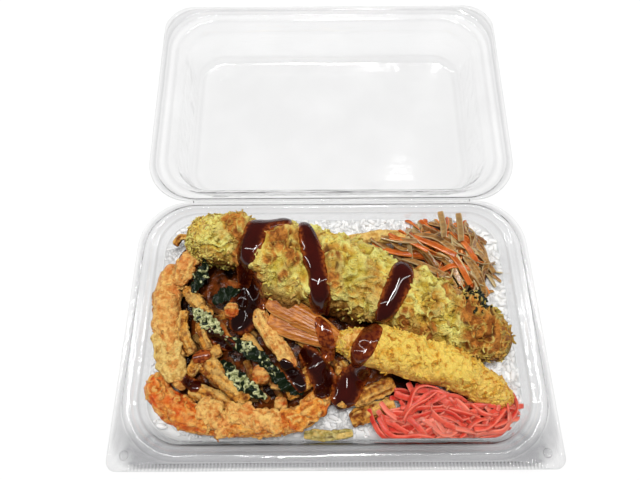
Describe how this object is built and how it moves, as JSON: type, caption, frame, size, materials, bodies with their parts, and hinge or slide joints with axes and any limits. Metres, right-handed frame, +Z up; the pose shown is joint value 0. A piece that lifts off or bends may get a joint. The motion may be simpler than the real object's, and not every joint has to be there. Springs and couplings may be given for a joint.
{
  "type": "bento box meal",
  "caption": "Takeaway bento in a clear hinged pack: battered fish cake, prawn and vegetable fritter on rice with pickled ginger and braised roots.",
  "frame": {"origin": "middle of the tray's underside, on the table", "axes": "+Z up, +Y back to the hinge and the open lid, +X to the right as the eater sees it"},
  "size_m": [0.2, 0.2603, 0.0628],
  "materials": {
    "clear_plastic": "clear, glossy thin sheet",
    "rice": "moist, slightly glossy grains",
    "laver_batter": "crumbly fried batter with green laver flecks",
    "yellow_batter": "crumbly fried batter",
    "golden_batter": "oily fried batter",
    "prawn_shell": "glossy striped shell",
    "leaf": "glossy fried leaf with pale batter",
    "ginger": "wet, translucent strips",
    "braised_roots": "oily strips"
  },
  "bodies": {
    "tray": {"tray": "clear_plastic", "rice_bed": "rice", "fish_cake_tempura": "laver_batter", "prawn_tempura": "yellow_batter", "prawn_tail": "prawn_shell", "fritter_stick": "golden_batter", "fritter_front_arc": "golden_batter", "fritter_side_column": "golden_batter", "leaf_1": "leaf", "leaf_2": "leaf", "leaf_3": "leaf", "leaf_4": "leaf", "leaf_5": "leaf", "leaf_6": "leaf", "front_stick_upper": "golden_batter", "front_stick_lower": "golden_batter", "back_stick": "golden_batter", "onion_strip": "golden_batter", "back_crumb_strip": "golden_batter", "pickled_ginger": "ginger", "burdock_and_carrot": "braised_roots", "vegetable_fritter": "golden_batter"},
    "lid": {"lid": "clear_plastic"}
  },
  "joints": [
    {"name": "lid_hinge", "type": "hinge", "parent": "tray", "child": "lid", "pos_m": [0, 0.06535, 0.032], "axis": [1, 0, 0], "range_deg": [0, 175.6]}
  ]
}
